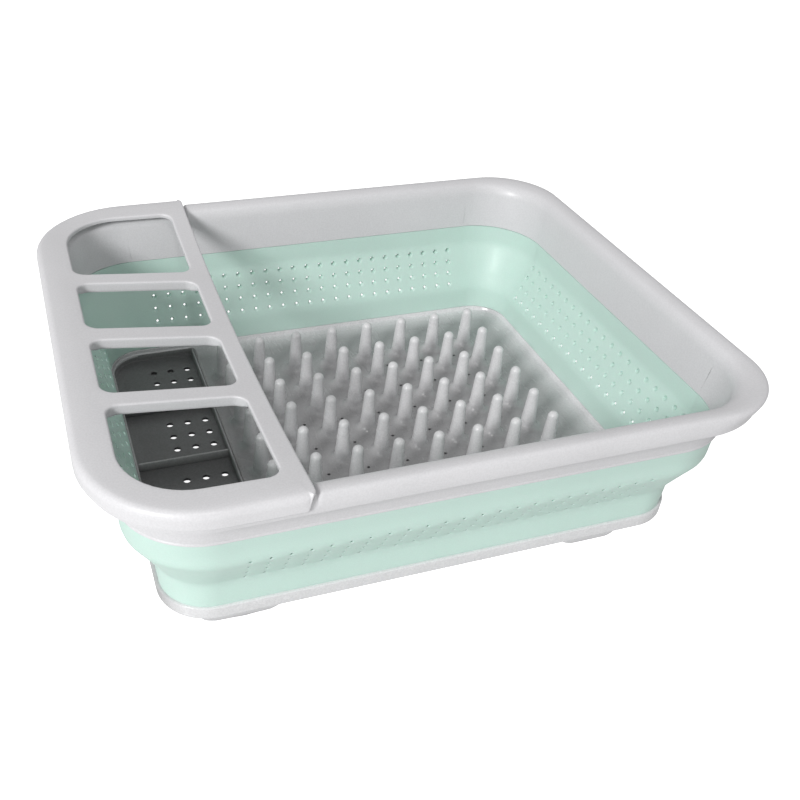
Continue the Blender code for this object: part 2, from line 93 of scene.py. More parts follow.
# ---------------------------------------------------------------- sizes shared with the CAD
LIP_CORNER_R = 0.042
LEFT_LIP_R = 0.056
LEFT_LIP_REACH = 0.0060
FLOOR_CORNER_R = 0.023
FLOOR_INSET = 0.0335
COLLAR_INSET = 0.0165
UPPER_FOOT_INSET = 0.0176
FOLD_FOOT_INSET = 0.0319
WALL_FOOT_INSET = 0.0332
FLOOR_Z = 0.0095
WELL_FLOOR_Z = 0.0046
STRIP_FOOT_Z = 0.0050
WELL_LEFT_X = -0.1455
WELL_RIGHT_X = -0.0878
WELL_END_Y = 0.1205
DISH_SAG = 0.0105
DISH_LEFT_X = -0.1720
DISH_HALF_Y = 0.150
OPENING_LEFT_X = -0.1633
OPENING_RIGHT_X = -0.0943
OPENING_ROWS = [(0.06755, 0.1385), (0.0062, 0.05605), (-0.05605, -0.0062), (-0.1385, -0.06755)]
BAR_MIDDLES = [0.0618, 0.0, -0.0618]
COMPARTMENT_MIDDLES = [-0.0895, -0.0285, 0.0285, 0.0895]

# ---------------------------------------------------------------- sizes of the looks alone
WELL_HOLE_R = 0.0021
PEG_FLOOR_HOLE_R = 0.0009
HOLE_EDGE_DEPTH = 0.0003   # how far a hole's edge sinks
PLATE_THICK = 0.0024       # floors of the tray and the well
PLATE_MARGIN = 0.0043      # from the walls' outline to the floor's plate

# ---------------------------------------------------------------- path round the basin
SPAN_X = 0.2465            # straight part of a long side
SPAN_Y = 0.1965            # straight part of a short side
TURN = 0.060               # share of the path given to each corner
LEAD = 0.1                 # part of a corner's share before and after its arc
PIECES = np.array([SPAN_X, TURN, SPAN_Y, TURN, SPAN_X, TURN, SPAN_Y, TURN])
STARTS = np.concatenate([[0.0], np.cumsum(PIECES)])
ROUND = STARTS[-1]
SIDE_X = np.array([-1.0, -1.0, 1.0, 1.0])
SIDE_Y = np.array([1.0, -1.0, -1.0, 1.0])


def corner_radius(inset):
    """r = r_lip down to the collar's foot, then falls evenly to r_floor at the floor's edge."""
    share = np.clip((inset - COLLAR_INSET) / (FLOOR_INSET - COLLAR_INSET), 0, 1.3)
    return LIP_CORNER_R + (FLOOR_CORNER_R - LIP_CORNER_R) * share


def around(u, inset, tuck=0.0):
    """Point in plan at distance u round the basin, at an inset from the rim's edge; tuck is added to
    the radius of the two right corners.

    The path runs along the back to the left, down the left side, along the front and up the right
    side. On a straight part one coordinate is half the length less the inset and the other runs
    with u. In a corner the point is centre + r (cos a, sin a), with a short straight lead each end.
    """
    u, inset = np.broadcast_arrays(np.asarray(u, float), np.asarray(inset, float))
    piece = np.clip(np.searchsorted(STARTS, u, side="right") - 1, 0, 7)
    t = (u - STARTS[piece]) / PIECES[piece]
    side = piece // 2
    half_x = RIM_HALF_X - inset
    half_y = RIM_HALF_Y - inset
    r = corner_radius(inset)
    rounder = (LEFT_LIP_R - LIP_CORNER_R) * np.clip(1 - inset / LEFT_LIP_REACH, 0, 1)
    r = r + np.where(SIDE_X[side] < 0, rounder, tuck)
    run = 1 - 2 * t
    straight_x = np.choose(side, [run * SPAN_X / 2, -half_x, -run * SPAN_X / 2, half_x])
    straight_y = np.choose(side, [half_y, run * SPAN_Y / 2, -half_y, -run * SPAN_Y / 2])
    centre_x = SIDE_X[side] * (half_x - r)
    centre_y = SIDE_Y[side] * (half_y - r)
    begin = np.pi / 2 * (side + 1)
    turn = begin + np.pi / 2 * np.clip((t - LEAD) / (1 - 2 * LEAD), 0, 1)
    before = 1 - np.clip(t / LEAD, 0, 1)
    after = np.clip((t - 1 + LEAD) / LEAD, 0, 1)
    gap_x = SIDE_X[side] * SPAN_X / 2 - centre_x
    gap_y = SIDE_Y[side] * SPAN_Y / 2 - centre_y
    even = side % 2 == 0
    corner_x = centre_x + r * np.cos(turn) + gap_x * np.where(even, before, after)
    corner_y = centre_y + r * np.sin(turn) + gap_y * np.where(even, after, before)
    on_side = piece % 2 == 0
    x = np.where(on_side, straight_x, corner_x)
    y = np.where(on_side, straight_y, corner_y)
    return BASIN_X + x, y


def path_stops(long_steps, short_steps, corner_steps, extra=()):
    """Values of u for a ring: even steps along each side and corner, and any extra ones."""
    steps = [long_steps, corner_steps, short_steps, corner_steps] * 2
    parts = [np.linspace(STARTS[k], STARTS[k + 1], n, endpoint=False) for k, n in enumerate(steps)]
    return np.unique(np.round(np.concatenate(parts + [np.asarray(extra, float)]), 7))


# ---------------------------------------------------------------- profiles and meshes
def softened(points, setbacks, steps=5, closed=False):
    """Path through the points with each corner p cut back by its setback and bridged by the curve
    (1-t)^2 a + 2 t (1-t) p + t^2 b, where a and b are the cut ends."""
    points = np.asarray(points, float)
    count = len(points)
    t = np.linspace(0, 1, steps)[:, None]
    made = []
    for index in range(count):
        if not closed and index in (0, count - 1):
            made.append(points[index][None])
            continue
        p = points[index]
        before = points[index - 1] - p
        after = points[(index + 1) % count] - p
        reach_a = min(setbacks[index], 0.49 * np.linalg.norm(before))
        reach_b = min(setbacks[index], 0.49 * np.linalg.norm(after))
        a = p + before / np.linalg.norm(before) * reach_a
        b = p + after / np.linalg.norm(after) * reach_b
        made.append((1 - t) ** 2 * a + 2 * t * (1 - t) * p + t ** 2 * b)
    return np.concatenate(made)


def resampled(path, count):
    """The path read at count even distances along it."""
    path = np.asarray(path, float)
    length = np.concatenate([[0.0], np.cumsum(np.linalg.norm(np.diff(path, axis=0), axis=1))])
    wanted = np.linspace(0, length[-1], count)
    return np.stack([np.interp(wanted, length, path[:, k]) for k in range(path.shape[1])], -1)


def grid_faces(rows, columns, close_rows=False, close_columns=False):
    """Quads of a grid of points, row by row; a closed direction joins its last line to its first."""
    i = np.arange(rows if close_rows else rows - 1)[:, None]
    j = np.arange(columns if close_columns else columns - 1)[None, :]
    down = (i + 1) % rows
    over = (j + 1) % columns
    corners = [i * columns + j, i * columns + over, down * columns + over, down * columns + j]
    return np.stack(np.broadcast_arrays(*corners), -1).reshape(-1, 4)


def grid(points, close_rows=False, close_columns=False):
    """(points, faces) of a rows x columns x 3 array."""
    rows, columns, _ = points.shape
    return points.reshape(-1, 3), grid_faces(rows, columns, close_rows, close_columns)


def capped(rings):
    """Parts of a tube through closed rings, with a flat face over each end."""
    cap = np.arange(rings.shape[1])[None]
    return [grid(rings, False, True), (rings[0], cap), (rings[-1], cap)]


def new_mesh(name, parts, crease=40.0, weld=2e-6):
    """Object at the origin from several (points, faces), welded, with its faces turned outwards."""
    offsets = np.cumsum([0] + [len(points) for points, _ in parts[:-1]])
    points = np.concatenate([points for points, _ in parts])
    faces = []
    for (_, part_faces), offset in zip(parts, offsets):
        faces += (part_faces + offset).tolist()
    mesh = bpy.data.meshes.new(name)
    mesh.from_pydata(points.tolist(), [], faces)
    build = bmesh.new()
    build.from_mesh(mesh)
    bmesh.ops.remove_doubles(build, verts=build.verts, dist=weld)
    bmesh.ops.dissolve_degenerate(build, dist=weld / 2, edges=build.edges)
    bmesh.ops.recalc_face_normals(build, faces=build.faces)
    build.to_mesh(mesh)
    build.free()
    mesh.shade_smooth()
    mesh.set_sharp_from_angle(angle=math.radians(crease))
    made = bpy.data.objects.new(name, mesh)
    bpy.context.scene.collection.objects.link(made)
    return made


def thickened(piece, thickness, crease=40.0):
    """Gives a sheet its thickness, on the side its faces turn away from, and keeps the result."""
    solid = piece.modifiers.new("thickness", "SOLIDIFY")
    solid.thickness = thickness
    solid.offset = -1
    solid.use_even_offset = True
    bpy.context.view_layer.update()
    graph = bpy.context.evaluated_depsgraph_get()
    made = bpy.data.meshes.new_from_object(piece.evaluated_get(graph))
    piece.modifiers.clear()
    old = piece.data
    piece.data = made
    bpy.data.meshes.remove(old)
    made.shade_smooth()
    made.set_sharp_from_angle(angle=math.radians(crease))
    return piece


def dress(piece, material, body, slot, *nodes):
    """Gives a finished piece its material and body, and hides the CAD nodes it stands for; slot is not used.
    """
    piece.data.materials.clear()
    piece.data.materials.append(material)
    if body is not None:
        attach(piece, body)
    if nodes:
        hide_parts(*nodes)
    return piece


TILE = 4                   # steps along each side of a tile


def tile_lines(edges):
    """Four even steps between each pair of neighbouring edges."""
    edges = np.asarray(edges, float)
    share = np.arange(TILE) / TILE
    inner = edges[:-1, None] + np.diff(edges)[:, None] * share
    return np.append(inner.ravel(), edges[-1])


def pierced_sheet(u_edges, v_edges, pierced, hole_r, place, rings=None):
    """Lattice of tiles, with a round hole in the middle of every pierced one.

    place(u, v, sink) gives the points in space. A plain tile is a four by four grid. In a pierced
    tile rings of sixteen points lead from its border to the hole: p = c + r (cos a, sin a), with r
    from the hole's radius outwards, and the innermost ring sunk a little to soften the edge. rings
    are (times the hole's radius, times the edge's depth).
    """
    u, v = tile_lines(u_edges), tile_lines(v_edges)
    columns = len(v)
    grid_u, grid_v = np.meshgrid(u, v, indexing="ij")
    points = [np.stack([grid_u.ravel(), grid_v.ravel(), np.zeros(grid_u.size)], -1)]
    quads = grid_faces(len(u), columns)
    tile_u = (np.arange(len(quads)) // (columns - 1)) // TILE
    tile_v = (np.arange(len(quads)) % (columns - 1)) // TILE
    faces = [quads[~pierced[tile_u, tile_v]]]
    i, j = np.nonzero(pierced)
    step = np.arange(TILE)
    zero = np.zeros(TILE, int)
    border_u = np.concatenate([zero + TILE, TILE - step, zero, step])
    border_v = np.concatenate([step, zero + TILE, TILE - step, zero])
    border = (i[:, None] * TILE + border_u) * columns + j[:, None] * TILE + border_v
    middle_u = (u_edges[i] + u_edges[i + 1]) / 2
    middle_v = (v_edges[j] + v_edges[j + 1]) / 2
    side = 4 * TILE
    angle = 2 * np.pi * np.arange(side) / side - np.pi / 4
    last = border
    offset = grid_u.size
    edge = HOLE_EDGE_DEPTH / hole_r
    for radius, sink in rings or ((1.45, 0.0), (1.0 + edge, 0.0), (1.0 + 0.25 * edge, 0.3), (1.0, 1.0)):
        ring_u = middle_u[:, None] + hole_r * radius * np.cos(angle)
        ring_v = middle_v[:, None] + hole_r * radius * np.sin(angle)
        depth = np.full(ring_u.size, sink * HOLE_EDGE_DEPTH)
        points.append(np.stack([ring_u.ravel(), ring_v.ravel(), depth], -1))
        ring = offset + np.arange(ring_u.size).reshape(ring_u.shape)
        quad = np.stack([last, np.roll(last, -1, 1), np.roll(ring, -1, 1), ring], -1)
        faces.append(quad.reshape(-1, 4))
        last = ring
        offset += ring_u.size
    flat = np.concatenate(points)
    used = np.unique(np.concatenate(faces))
    renumber = np.zeros(len(flat), int)
    renumber[used] = np.arange(len(used))
    flat = flat[used]
    return place(flat[:, 0], flat[:, 1], flat[:, 2]), renumber[np.concatenate(faces)]


# ---------------------------------------------------------------- materials
def node(tree, kind, **settings):
    """Adds a node with its settings."""
    made = tree.nodes.new(kind)
    for key, value in settings.items():
        setattr(made, key, value)
    return made


def noise(tree, coordinates, scale, detail=3.0, stretch=(1, 1, 1)):
    """Noise over the object's own coordinates, in cycles per metre."""
    mapping = node(tree, "ShaderNodeMapping")
    mapping.inputs["Scale"].default_value = stretch
    made = node(tree, "ShaderNodeTexNoise")
    made.inputs["Scale"].default_value = scale
    made.inputs["Detail"].default_value = detail
    tree.links.new(coordinates, mapping.inputs["Vector"])
    tree.links.new(mapping.outputs["Vector"], made.inputs["Vector"])
    return made.outputs["Fac"]


def ranged(tree, value, low, high, start=0.3, end=0.7):
    """Maps a value between start and end to low and high, clamped."""
    made = node(tree, "ShaderNodeMapRange")
    for key, number in (("From Min", start), ("From Max", end), ("To Min", low), ("To Max", high)):
        made.inputs[key].default_value = number
    tree.links.new(value, made.inputs["Value"])
    return made.outputs["Result"]


def mixed(tree, factor, first, second):
    """Colour between two colours or colour outputs."""
    made = node(tree, "ShaderNodeMix", data_type="RGBA")
    for key, value in (("A", first), ("B", second)):
        if isinstance(value, tuple):
            made.inputs[key].default_value = (*value, 1.0)
        else:
            tree.links.new(value, made.inputs[key])
    tree.links.new(factor, made.inputs["Factor"])
    return made.outputs["Result"]


def maths(tree, operation, first, second=0.0, third=0.0):
    """One sum of outputs and numbers."""
    made = node(tree, "ShaderNodeMath", operation=operation)
    for slot, value in zip(made.inputs, (first, second, third)):
        if isinstance(value, float):
            slot.default_value = value
        else:
            tree.links.new(value, slot)
    return made.outputs["Value"]


def moulded(name, colour, shift, speckle, roughness, grain, grain_depth, translucent=0.0, sunk=None):
    """Moulded plastic or rubber: colour that wanders slightly and carries a fine speckle, roughness in
    broad patches with fine rub marks, and a spark-eroded grain as bump.

    sunk is (shade, z_low, z_high, open_low, open_high): painted shade for the shadow that walls and pegs
    would cast low in the basin. The colour is multiplied by the shade, fully at z_low and not at all from
    z_high up, nor near the walls, from open_low to open_high measured from the middle of the rack.
    """
    made = bpy.data.materials.new(name)
    made.use_nodes = True
    tree = made.node_tree
    shader = tree.nodes["Principled BSDF"]
    where = node(tree, "ShaderNodeTexCoord").outputs["Object"]
    cloud = ranged(tree, noise(tree, where, 22, 4.0), 0.0, 1.0)
    fleck = ranged(tree, noise(tree, where, grain * 0.75, 1.0), 0.0, 1.0, 0.35, 0.65)
    share = speckle / (speckle + shift)
    swing = shift + speckle
    factor = maths(tree, "ADD", maths(tree, "MULTIPLY", cloud, 1.0 - share),
                   maths(tree, "MULTIPLY", fleck, share))
    shown = mixed(tree, factor, tuple(max(0.0, c * (1 - swing)) for c in colour),
                  tuple(min(1.0, c * (1 + swing)) for c in colour))
    # painted shade: darkens the colour low down and away from the walls, standing in for shadow
    if sunk:
        shade, z_low, z_high, open_low, open_high = sunk
        split = node(tree, "ShaderNodeSeparateXYZ")
        tree.links.new(where, split.inputs["Vector"])
        lift = ranged(tree, split.outputs["Z"], 0.0, 1.0, z_low, z_high)
        side = ranged(tree, maths(tree, "ABSOLUTE", split.outputs["Y"]), 0.0, 1.0, open_low[1], open_high[1])
        right = ranged(tree, split.outputs["X"], 0.0, 1.0, open_low[0], open_high[0])
        clear = maths(tree, "MAXIMUM", lift, maths(tree, "MAXIMUM", side, right))
        shade_gain = maths(tree, "MULTIPLY_ADD", clear, 1.0 - shade, shade)
        scaled = node(tree, "ShaderNodeVectorMath", operation="SCALE")
        tree.links.new(shown, scaled.inputs["Vector"])
        tree.links.new(shade_gain, scaled.inputs["Scale"])
        shown = scaled.outputs["Vector"]
    tree.links.new(shown, shader.inputs["Base Color"])
    patches = ranged(tree, noise(tree, where, 55, 5.0), roughness - 0.06, roughness + 0.07)
    rubs = ranged(tree, noise(tree, where, 260, 2.0, (1.0, 0.12, 1.0)), -0.03, 0.04, 0.4, 0.75)
    tree.links.new(maths(tree, "ADD", patches, rubs), shader.inputs["Roughness"])
    fine = noise(tree, where, grain, 2.0)
    broad = noise(tree, where, 38, 2.0)
    bump = node(tree, "ShaderNodeBump")
    bump.inputs["Strength"].default_value = 0.5
    bump.inputs["Distance"].default_value = grain_depth
    tree.links.new(maths(tree, "MULTIPLY_ADD", broad, 6.0, fine), bump.inputs["Height"])
    tree.links.new(bump.outputs["Normal"], shader.inputs["Normal"])
    if translucent:
        shader.inputs["Subsurface Weight"].default_value = translucent
        shader.inputs["Subsurface Scale"].default_value = 0.004
        shader.inputs["Subsurface Radius"].default_value = (0.6, 1.0, 0.8)
    return made


rigid_grey = moulded("rigid_grey_plastic", (0.655, 0.65, 0.665), 0.02, 0.03, 0.38, 1500, 0.00003)
# tray plastic with painted shade: darker on the floor between the pegs, lighter near the right, front and
# back walls
tray_grey = moulded("tray_grey_plastic", (0.66, 0.655, 0.665), 0.02, 0.045, 0.25, 1300, 0.00003,
                    sunk=(0.55, FLOOR_Z + 0.0003, FLOOR_Z + 0.0065, (0.132, 0.105), (0.149, 0.121)))
# cutlery well and ribs: the tray's plastic given a darker grey plus painted shade, standing in for the
# shadow under the cutlery frame
well_painted_shade_grey = moulded("well_painted_shade_plastic", (0.38, 0.378, 0.382), 0.03, 0.08, 0.45, 1300, 0.00004,
                    sunk=(0.38, WELL_FLOOR_Z + 0.0002, FLOOR_Z + 0.0015, (0.9, 0.9), (1.0, 1.0)))
mint_rubber = moulded("mint_rubber", (0.55, 0.72, 0.655), 0.015, 0.015, 0.46, 1800, 0.00003,
                      translucent=0.12)
foot_rubber = moulded("foot_grey_rubber", (0.60, 0.595, 0.605), 0.03, 0.03, 0.58, 1600, 0.00005)


# ---------------------------------------------------------------- rubber wall
WALL_HOLE_R = 0.0016
WALL_HOLE_OUTER_R = 0.0007
WALL_HOLE_PITCH = 0.0101
WALL_HOLES_LONG = 23
WALL_HOLES_SHORT = 20
WALL_HOLE_ROWS = 4
WALL_LINES = [(COLLAR_INSET, WALL_TOP_Z), (UPPER_FOOT_INSET, FOLD_TOP_Z),
              (FOLD_FOOT_INSET, FOLD_FOOT_Z), (WALL_FOOT_INSET, WALL_FOOT_Z)]
WALL_OUTER_LINES = [(COLLAR_INSET - 0.0019, WALL_TOP_Z + 0.0005),
                    (UPPER_FOOT_INSET - 0.0027, FOLD_TOP_Z - 0.0040),
                    (FOLD_FOOT_INSET - 0.0022, FOLD_FOOT_Z + 0.0022),
                    (WALL_FOOT_INSET - 0.0026, WALL_FOOT_Z - 0.0005)]
PLAIN_BAND_TILES = 3       # tiles down the wall above the holes, and below them
CORNER_TILES = 6


def read_at(path, length):
    """Points of a path at distances along it."""
    run = np.concatenate([[0.0], np.cumsum(np.linalg.norm(np.diff(path, axis=0), axis=1))])
    return np.stack([np.interp(length, run, path[:, 0]), np.interp(length, run, path[:, 1])], -1)


def path_length(path):
    """Length of a path along itself."""
    return float(np.linalg.norm(np.diff(path, axis=0), axis=1).sum())


def wall_tiles():
    """Edges of the wall's tiles round the basin and down the wall, and which of them are pierced."""
    bands = [math.dist(WALL_LINES[k], WALL_LINES[k + 1]) for k in range(3)]
    top, foot = bands[0], bands[0] + bands[1]
    v_edges = np.concatenate([np.linspace(0, top, PLAIN_BAND_TILES + 1)[:-1],
                              np.linspace(top, foot, WALL_HOLE_ROWS + 1),
                              np.linspace(foot, sum(bands), PLAIN_BAND_TILES + 1)[1:]])
    u_parts, holes = [], []
    for k, size in enumerate(PIECES):
        if k % 2:
            u_parts.append(np.linspace(STARTS[k], STARTS[k + 1], CORNER_TILES + 1)[:-1])
            holes += [False] * CORNER_TILES
            continue
        count = WALL_HOLES_LONG if k % 4 == 0 else WALL_HOLES_SHORT
        inner = STARTS[k] + size / 2 + (np.arange(count + 1) - count / 2) * WALL_HOLE_PITCH
        room = int(inner[0] - STARTS[k] > 0.001)
        inner = np.clip(inner, STARTS[k], STARTS[k + 1])
        u_parts.append(np.concatenate([[STARTS[k]], inner]) if room else inner[:-1])
        holes += [False] * room + [True] * count + [False] * room
    u_edges = np.append(np.concatenate(u_parts), ROUND)
    pierced = np.zeros((len(u_edges) - 1, len(v_edges) - 1), bool)
    pierced[:, PLAIN_BAND_TILES:PLAIN_BAND_TILES + WALL_HOLE_ROWS] = np.array(holes)[:, None]
    return u_edges, v_edges, pierced, sum(bands)


def make_wall():
    """An inner and an outer face, each a pierced sheet read from its own profile, joined at every edge.

    A point at length v down the sheet has the inset and height of its profile at that share of its
    length, and lies at u round the basin. The holes narrow towards the outside. Where the sheet ends
    at a hole or at its own edge, a quad joins the two faces.
    """
    u_edges, v_edges, pierced, whole = wall_tiles()
    inner_path = softened(WALL_LINES, [0, 0.0030, 0.0034, 0], steps=9)
    outer_path = softened(WALL_OUTER_LINES, [0, 0.0026, 0.0024, 0], steps=9)

    def placer(path, inward):
        scale = path_length(path) / whole

        def place(u, v, sink):
            section = read_at(path, v * scale)
            x, y = around(np.mod(u, ROUND), section[:, 0] + inward * sink)
            return np.stack([x, y, section[:, 1]], -1)
        return place

    inner, faces = pierced_sheet(u_edges, v_edges, pierced, WALL_HOLE_R, placer(inner_path, -1),
                                 ((1.3, 0.0), (1.16, 0.0), (1.05, 0.3), (1.0, 1.0)))
    outer, _ = pierced_sheet(u_edges, v_edges, pierced, WALL_HOLE_OUTER_R, placer(outer_path, 1),
                             ((2.2, 0.0), (1.7, 0.2), (1.25, 0.6), (1.0, 1.0)))
    _, first, same = np.unique(np.round(inner, 7), axis=0, return_index=True, return_inverse=True)
    same = np.asarray(same).ravel()
    faces = same[faces]
    inner, outer = inner[first], outer[first]
    pairs = np.stack([faces, np.roll(faces, -1, 1)], -1).reshape(-1, 2)
    _, which, uses = np.unique(np.sort(pairs, 1), axis=0, return_inverse=True, return_counts=True)
    begin, end = pairs[uses[np.asarray(which).ravel()] == 1].T
    count = len(inner)
    sides = np.stack([end, begin, begin + count, end + count], -1)
    all_faces = np.concatenate([faces, faces[:, ::-1] + count, sides])
    return new_mesh("rubber_wall", [(np.concatenate([inner, outer]), all_faces)], crease=50)


# ---------------------------------------------------------------- rim
GROOVE_X = FRAME_RIGHT_X + 0.0008
GROOVE_DEPTH = 0.0015
GROOVE_WIDTH = 0.0008
GROOVE_STOPS = np.linspace(-5, 5, 17) * MM
LIP_TUCK = 0.0016          # added to the right corners' radius for each mm below the crest
LIP_REACH = 0.008
COLLAR_THICK = 0.0024


def make_rim():
    """The rim's closed section carried round, with a groove across the flange where the cutlery
    frame ends: z is lowered by depth * exp(-((x - x0) / width)^2)."""
    foot_outer = COLLAR_INSET - COLLAR_THICK
    section = [
        (0.0004, CREST_Z - 0.0109), (0.0, CREST_Z - 0.0072), (0.0008, CREST_Z - 0.0006),
        (0.0052, CREST_Z + 0.0002), (0.0112, CREST_Z - 0.0016), (0.0136, CREST_Z - 0.0062),
        (COLLAR_INSET, COLLAR_FOOT_Z), (foot_outer - 0.0005, COLLAR_FOOT_Z),
        (foot_outer - 0.0005, COLLAR_FOOT_Z + 0.0006), (foot_outer - 0.0001, COLLAR_FOOT_Z + 0.0014),
        (0.0110, CREST_Z - 0.0053), (0.0096, CREST_Z - 0.0038), (0.0048, CREST_Z - 0.0023),
        (0.0031, CREST_Z - 0.0041), (0.0023, CREST_Z - 0.0075), (0.0026, CREST_Z - 0.0109),
    ]
    cuts = np.array([0.3, 2.0, 3.4, 3.0, 2.4, 3.0, 0.4, 0.25, 0.3, 0.3, 1.5, 1.5, 1.2, 1.5, 1.0, 0.5]) * MM
    profile = softened(section, cuts, steps=6, closed=True)
    near = GROOVE_X + GROOVE_STOPS
    back = BASIN_X + SPAN_X / 2 - near
    front = STARTS[4] + near - BASIN_X + SPAN_X / 2
    u = path_stops(26, 20, 32, np.concatenate([back, front]))
    tuck = LIP_TUCK * np.clip((CREST_Z - profile[:, 1:]) / MM, 0, 8) * (profile[:, :1] < LIP_REACH)
    x, y = around(u[None, :], profile[:, :1], tuck)
    z = np.broadcast_to(profile[:, 1:], x.shape).copy()
    flange = np.clip((profile[:, 1:] - CREST_Z + 0.0075) / 0.003, 0, 1)
    z -= GROOVE_DEPTH * flange * np.exp(-((x - GROOVE_X) / GROOVE_WIDTH) ** 2) * (np.abs(y) > 0.12)
    return new_mesh("rim_shell", [grid(np.stack([x, y, z], -1), True, True)])


# ---------------------------------------------------------------- base
def make_tray_edge():
    """Outer strip, the ledge the rubber stands on and the cove that leads down to the floor.

    The cove reaches 6.2 mm over the peg floor and 1.4 mm beside the cutlery well, and changes from
    one to the other over 2 mm of x.
    """
    reach_full, reach_short, change = 0.0062, 0.0014, 0.002
    strip_inset, under_inset = 0.0290, 0.0315
    back = BASIN_X + SPAN_X / 2 - WELL_RIGHT_X - np.array([0.0, change])
    front = STARTS[4] + WELL_RIGHT_X + np.array([0.0, change]) - BASIN_X + SPAN_X / 2
    u = path_stops(30, 22, 20, np.concatenate([back, front]))
    x_edge, _ = around(u, FLOOR_INSET)
    share = np.clip((x_edge - WELL_RIGHT_X) / change, 0, 1)
    reach = reach_short + (reach_full - reach_short) * share
    rows = [
        (strip_inset, STRIP_FOOT_Z), (strip_inset, BASE_EDGE_Z), (FLOOR_INSET, BASE_EDGE_Z),
        (FLOOR_INSET + 0.0010, FLOOR_Z + 0.0008), (FLOOR_INSET + 0.0024, FLOOR_Z + 0.0003),
        (FLOOR_INSET + reach_full, FLOOR_Z + 0.00006), (FLOOR_INSET + reach_full, FLOOR_Z - 0.0012),
        (under_inset, FLOOR_Z - 0.0020), (under_inset, STRIP_FOOT_Z),
    ]
    cuts = np.array([0.5, 0.9, 0.7, 1.2, 1.5, 0.05, 0.05, 0.5, 0.5]) * MM
    profile = softened(rows, cuts, steps=5, closed=True)
    past = np.clip((profile[:, :1] - FLOOR_INSET) / reach_full, 0, 1)
    inset = np.where(past > 0, FLOOR_INSET + past * reach[None, :], profile[:, :1])
    x, y = around(u[None, :], inset)
    z = np.broadcast_to(profile[:, 1:], x.shape)
    return new_mesh("tray_edge", [grid(np.stack([x, y, z], -1), True, True)])


def flat_place(z):
    """Places a sheet level at z, sink pointing down."""
    return lambda u, v, sink: np.stack([u, v, z - sink], -1)


def make_peg_floor():
    """Level floor in tiles of one peg pitch, with a drain hole in the middle of every cell."""
    corner_x, corner_y = 0.022, 0.021
    cells_x = PEG_X0 + PEG_PITCH * np.arange(PEG_COLUMNS)
    cells_y = PEG_PITCH * (np.arange(PEG_ROWS) - (PEG_ROWS - 1) / 2)
    right = BASIN_X + RIM_HALF_X - FLOOR_INSET - PLATE_MARGIN
    end = RIM_HALF_Y - FLOOR_INSET - PLATE_MARGIN
    u_edges = np.concatenate([[WELL_RIGHT_X + 0.0005], cells_x, [cells_x[-1] + corner_x, right]])
    v_edges = np.concatenate([[-end, -end + corner_y], cells_y, [end - corner_y, end]])
    pierced = np.zeros((len(u_edges) - 1, len(v_edges) - 1), bool)
    pierced[1:PEG_COLUMNS, 2:PEG_ROWS + 1] = True
    parts = [pierced_sheet(u_edges, v_edges, pierced, PEG_FLOOR_HOLE_R, flat_place(FLOOR_Z))]
    return thickened(upward(new_mesh("peg_floor", parts)), PLATE_THICK)


def upward(piece):
    """Turns a level sheet's faces up, so that its thickness goes down."""
    if piece.data.polygons[0].normal.z < 0:
        piece.data.flip_normals()
    return piece


def make_pegs():
    """56 turned pegs: r(z) falls in a concave flare tangent to the floor, tapers, and ends in a dome.

    Points are (x0 + r cos a, y0 + r sin a, z) for every peg at once.
    """
    tip_r, foot_r, flare_r = 0.0034, 0.0048, 0.0100
    flare_h, dome_h, sides = 0.0050, 0.0034, 20
    a = np.linspace(0, np.pi / 2, 8)
    flare = np.stack([flare_r - (flare_r - foot_r) * np.sin(a), FLOOR_Z + flare_h * (1 - np.cos(a))], -1)
    dome = np.stack([tip_r * np.cos(a), PEG_TIP_Z - dome_h + dome_h * np.sin(a)], -1)
    dome[-1, 0] = 0.0
    shaft = np.linspace(flare[-1], dome[0], 5)[1:-1]
    under = np.array([(0.0, FLOOR_Z - 0.001), (flare_r - 0.0006, FLOOR_Z - 0.001)])
    profile = np.concatenate([under, flare, shaft, dome])
    turn = 2 * np.pi * np.arange(sides) / sides
    ring = np.stack([profile[:, :1] * np.cos(turn), profile[:, :1] * np.sin(turn),
                     np.broadcast_to(profile[:, 1:], (len(profile), sides))], -1)
    column = PEG_X0 + PEG_PITCH * np.arange(PEG_COLUMNS)
    row = PEG_PITCH * (np.arange(PEG_ROWS) - (PEG_ROWS - 1) / 2)
    places = np.stack(np.meshgrid(column, row, indexing="ij"), -1).reshape(-1, 2)
    points = ring.reshape(1, -1, 3) + np.pad(places, ((0, 0), (0, 1)))[:, None, :]
    quads = grid_faces(len(profile), sides, False, True)
    faces = quads[None] + (np.arange(len(places)) * len(profile) * sides)[:, None, None]
    return new_mesh("pegs", [(points.reshape(-1, 3), faces.reshape(-1, 4))], crease=50)


def level_outline(x0, x1, y0, y1, z, radii):
    """Rounded box at a height: four quarter turns c + r (cos a, sin a), with radii in the order back
    right, back left, front left, front right."""
    turn = np.linspace(0, np.pi / 2, 9)
    centres = [(x1 - radii[0], y1 - radii[0]), (x0 + radii[1], y1 - radii[1]),
               (x0 + radii[2], y0 + radii[2]), (x1 - radii[3], y0 + radii[3])]
    parts = [np.stack([cx + r * np.cos(turn + k * np.pi / 2), cy + r * np.sin(turn + k * np.pi / 2)], -1)
             for k, ((cx, cy), r) in enumerate(zip(centres, radii))]
    outline = np.concatenate(parts)
    return np.column_stack([outline, np.full(len(outline), z)])


